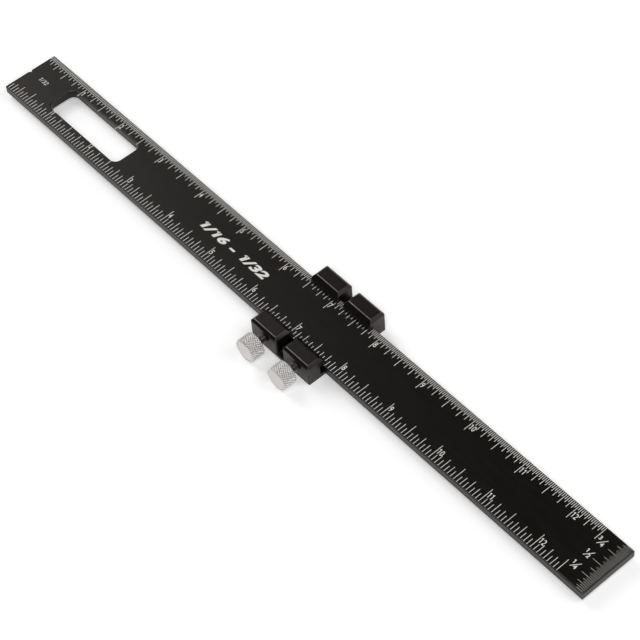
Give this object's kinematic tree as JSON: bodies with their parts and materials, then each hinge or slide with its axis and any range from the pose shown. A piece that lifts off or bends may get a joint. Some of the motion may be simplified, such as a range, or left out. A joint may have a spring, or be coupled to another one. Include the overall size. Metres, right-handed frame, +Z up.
{
  "type": "sliding stop marking ruler",
  "caption": "Black anodised aluminium rule with inch scales, a window near its zero end, and a sliding stop block clamped by two knurled thumb screws.",
  "frame": {"origin": "under the middle of the whole ruler, on the surface that its stop block stands on", "axes": "+X along the scale from its zero end, +Y from the thumb screws to the far edge, +Z up"},
  "size_m": [0.3302, 0.0472, 0.01],
  "materials": {
    "anodised_blade": "satin black anodised",
    "anodised_stop": "satin black anodised, machined edges",
    "knob_steel": "knurled, nickel plated",
    "stud_steel": "threaded, nickel plated",
    "pad_nylon": "natural nylon",
    "etched_marks": "pale laser-etched lines and figures on the anodising"
  },
  "bodies": {
    "ruler": {"ruler_blade": "anodised_blade"},
    "slider": {"stop_block": "anodised_stop"},
    "left_pad": {"left_clamp_pad": "pad_nylon"},
    "left_screw": {"left_clamp_knob": "knob_steel", "left_clamp_stud": "stud_steel"},
    "right_pad": {"right_clamp_pad": "pad_nylon"},
    "right_screw": {"right_clamp_knob": "knob_steel", "right_clamp_stud": "stud_steel"}
  },
  "joints": [
    {"name": "block_slide", "type": "slide", "parent": "ruler", "child": "slider", "axis": [1, 0, 0], "range_m": [-0.164, 0.1315]},
    {"name": "left_clamp_travel", "type": "slide", "parent": "slider", "child": "left_pad", "axis": [0, -1, 0], "range_m": [0, 0.0014]},
    {"name": "left_clamp_turn", "type": "hinge", "parent": "left_pad", "child": "left_screw", "pos_m": [0.00755, -0.01783, 0.00505], "axis": [0, -1, 0], "range_deg": [0, 720]},
    {"name": "right_clamp_travel", "type": "slide", "parent": "slider", "child": "right_pad", "axis": [0, -1, 0], "range_m": [0, 0.0014]},
    {"name": "right_clamp_turn", "type": "hinge", "parent": "right_pad", "child": "right_screw", "pos_m": [0.02555, -0.01783, 0.00505], "axis": [0, -1, 0], "range_deg": [0, 720]}
  ],
  "couplings": [
    {"joint": "left_clamp_turn", "follows": "left_clamp_travel", "rad_per_m": 8976},
    {"joint": "right_clamp_turn", "follows": "right_clamp_travel", "rad_per_m": 8976}
  ]
}
